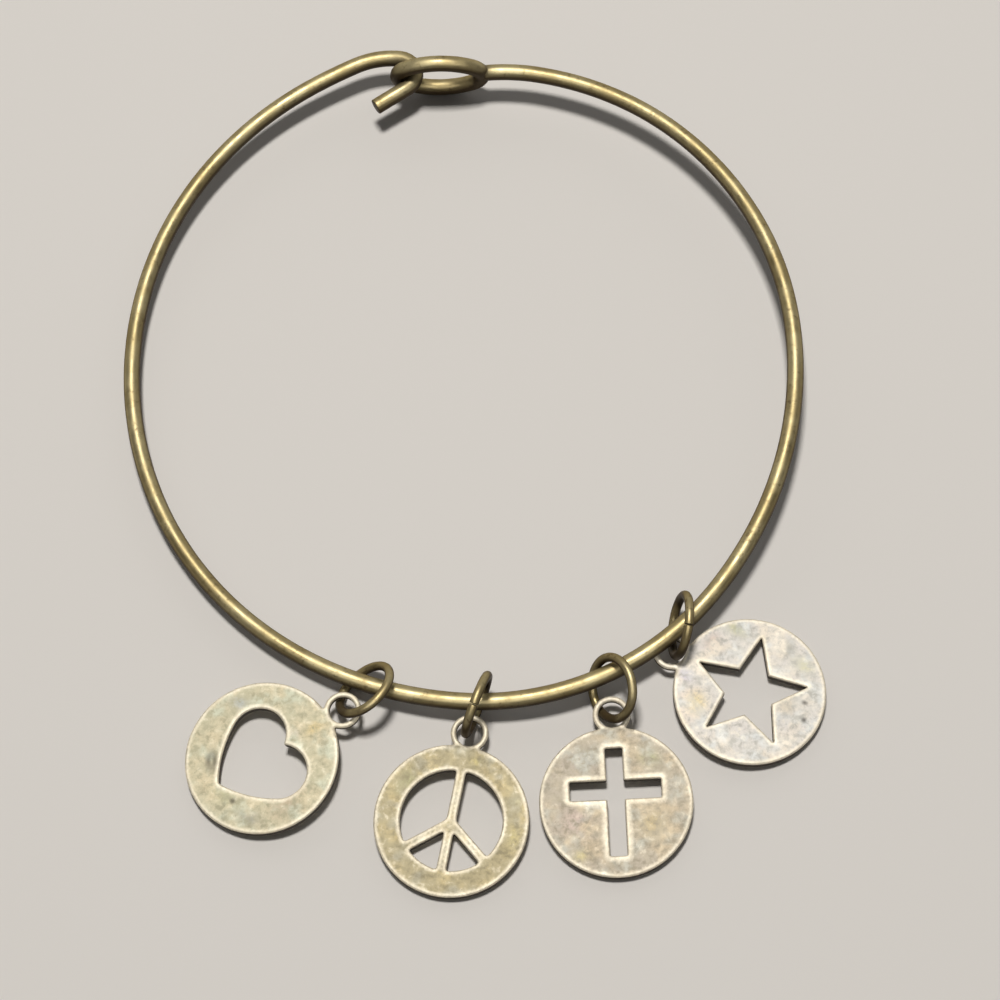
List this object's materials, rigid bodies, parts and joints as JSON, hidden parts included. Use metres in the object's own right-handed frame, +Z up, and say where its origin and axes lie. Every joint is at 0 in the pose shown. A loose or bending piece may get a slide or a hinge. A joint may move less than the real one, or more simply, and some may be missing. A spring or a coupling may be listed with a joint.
{
  "type": "charm bangle",
  "caption": "Round wire bangle closed by a hook and an eye, with pierced disc charms on jump rings: heart, peace sign, cross and star.",
  "frame": {"origin": "where the axis through the wrist opening meets the floor that the bangle lies on", "axes": "+Z up through the wrist opening, +Y from the charms to the hook and eye, +X to the right with the charms in front"},
  "size_m": [0.0706, 0.093, 0.0071],
  "materials": {
    "wire_brass": "aged olive brass wire, smooth, with brown tarnish in the hollows",
    "cast_brass": "pale antique brass plate on castings, mottled with tarnish and worn bright at the edges"
  },
  "bodies": {
    "root": {"bangle": "wire_brass", "jump_ring_heart": "wire_brass", "jump_ring_peace": "wire_brass", "jump_ring_cross": "wire_brass", "jump_ring_star": "wire_brass", "charm_heart": "cast_brass", "charm_peace": "cast_brass", "charm_cross": "cast_brass", "charm_star": "cast_brass"}
  },
  "joints": []
}
